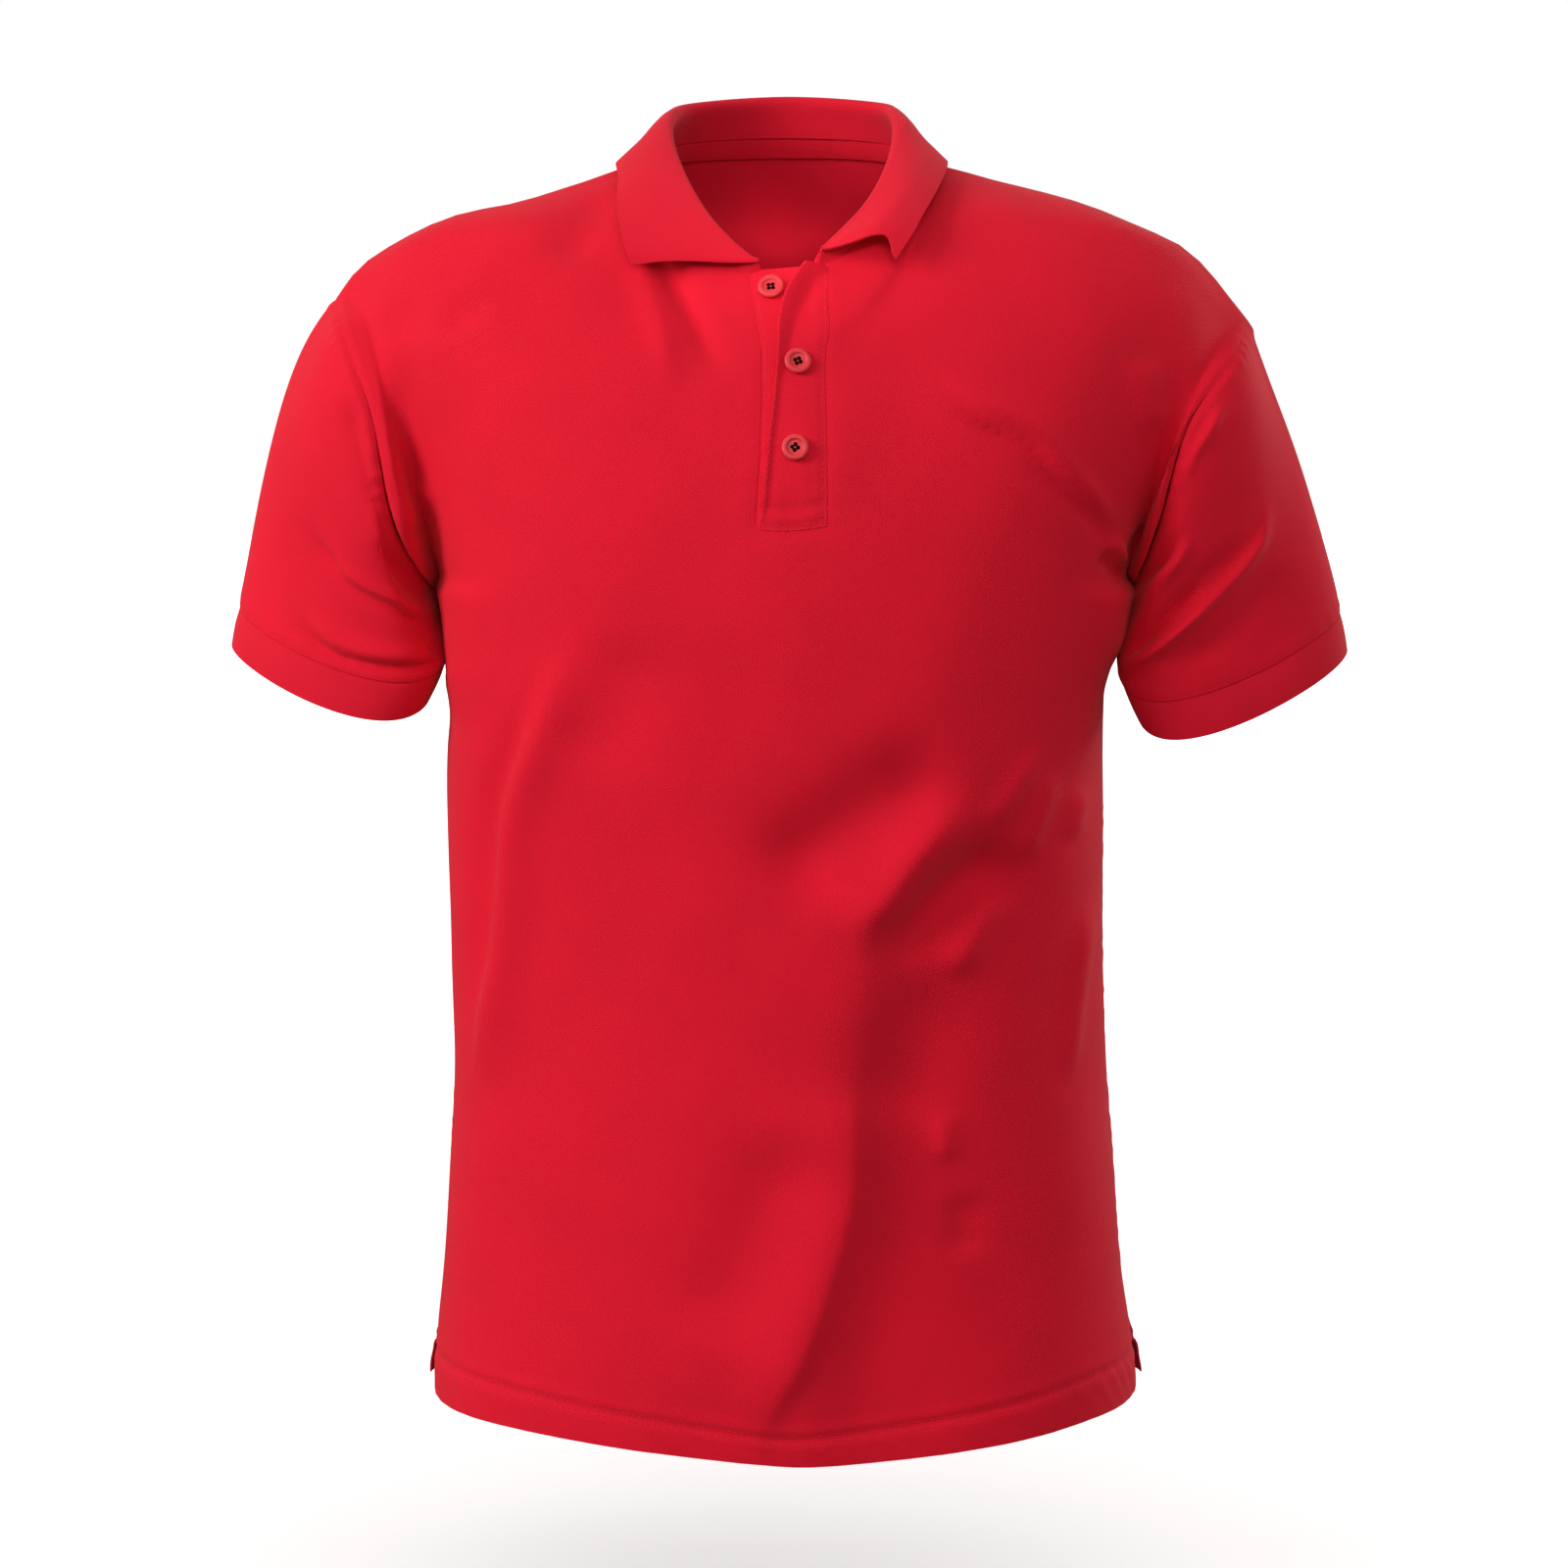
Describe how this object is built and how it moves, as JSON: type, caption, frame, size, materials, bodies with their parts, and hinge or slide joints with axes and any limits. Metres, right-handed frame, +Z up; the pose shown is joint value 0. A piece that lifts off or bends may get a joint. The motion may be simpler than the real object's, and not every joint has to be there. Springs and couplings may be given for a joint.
{
  "type": "polo shirt",
  "caption": "Short-sleeved knit polo shirt in its worn shape with nobody in it, with a turned-down collar, a buttoned placket, knit cuffs and open hem, sleeves and neck.",
  "frame": {"origin": "middle of the neck opening at the height of the shoulders' highest points, where the wearer's shoulders hold the shirt up", "axes": "+X to the viewer's right, the shirt's front faces -Y, +Z up along the body"},
  "size_m": [0.6097, 0.2581, 0.7267],
  "materials": {
    "pique": "matte pique knit",
    "rib_knit": "matte flat knit",
    "button": "satin"
  },
  "bodies": {
    "root": {"front": "pique", "back": "pique", "sleeve_left": "pique", "sleeve_right": "pique", "cuff_left": "rib_knit", "cuff_right": "rib_knit", "collar": "rib_knit", "neck_tape": "pique", "placket_over": "pique", "placket_under": "pique", "button_1": "button", "button_2": "button", "button_3": "button"}
  },
  "joints": []
}
